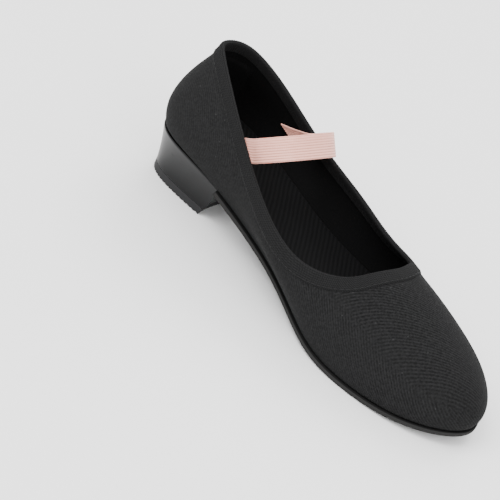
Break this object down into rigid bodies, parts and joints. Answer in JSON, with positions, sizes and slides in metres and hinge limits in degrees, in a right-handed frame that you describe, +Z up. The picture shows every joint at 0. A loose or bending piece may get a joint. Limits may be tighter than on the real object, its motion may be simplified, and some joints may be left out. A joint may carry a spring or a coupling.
{
  "type": "heeled dance slipper",
  "caption": "Soft black canvas dance slipper for the left foot, with a low moulded heel, suede sole, ribbed topline binding and a pale pink elastic strap over the instep.",
  "frame": {"origin": "on the floor, under the middle of the slipper's length and width", "axes": "+X towards the toe, +Y towards the outer (little toe) side of this left shoe, +Z up"},
  "size_m": [0.2487, 0.0824, 0.0876],
  "materials": {
    "canvas": "black cotton canvas with a fine diagonal twill",
    "lining": "thin black cotton drill",
    "stiffener": "resin-stiffened fibre sheet",
    "grip_suede": "soft black suede, napped",
    "binding": "black ribbed knitted binding tape",
    "cord": "thin round black cotton cord",
    "elastic": "pale pink woven elastic with lengthwise ribs",
    "sock": "black twill cloth",
    "foam": "soft open cell foam sheet",
    "board": "pressed fibre board",
    "spring_steel": "tempered strip steel, dull",
    "felt": "pressed grey felt",
    "sole_suede": "black split suede, rough and matt",
    "heel_plastic": "black moulded plastic, high gloss",
    "heel_rubber": "black rubber, satin",
    "plain_steel": "plain drawn steel wire"
  },
  "bodies": {
    "rear": {"quarter_canvas_medial": "canvas", "quarter_canvas_lateral": "canvas", "quarter_lining": "lining", "heel_counter": "stiffener", "heel_grip": "grip_suede", "topline_binding": "binding", "topline_cord": "cord", "strap_end_medial": "elastic", "strap_end_lateral": "elastic", "sock_lining": "sock", "insole_foam": "foam", "insole_board": "board", "shank": "spring_steel", "shank_rivets": "spring_steel", "bottom_filler": "felt", "outsole": "sole_suede", "heel_block": "heel_plastic", "heel_top_piece": "heel_rubber", "top_piece_pins": "plain_steel", "heel_nails": "plain_steel", "heel_screw": "plain_steel"},
    "forepart": {"vamp_canvas": "canvas", "vamp_lining": "lining", "toe_puff": "stiffener"},
    "strap": {"elastic_strap": "elastic"}
  },
  "joints": [
    {"name": "ball_flex", "type": "hinge", "parent": "rear", "child": "forepart", "pos_m": [0.0465, 0, 0.004], "axis": [0, -1, 0], "range_deg": [0, 40], "stiffness_Nm_per_rad": 0.6, "deforming": ["vamp_canvas", "vamp_lining", "outsole", "insole_board", "insole_foam", "sock_lining", "bottom_filler", "topline_binding", "topline_cord"]},
    {"name": "strap_swing", "type": "hinge", "parent": "rear", "child": "strap", "pos_m": [-0.05348, 0.00058, 0.05847], "axis": [0.0788, 0.9912, -0.106], "range_deg": [-70, 30], "stiffness_Nm_per_rad": 0.02}
  ]
}
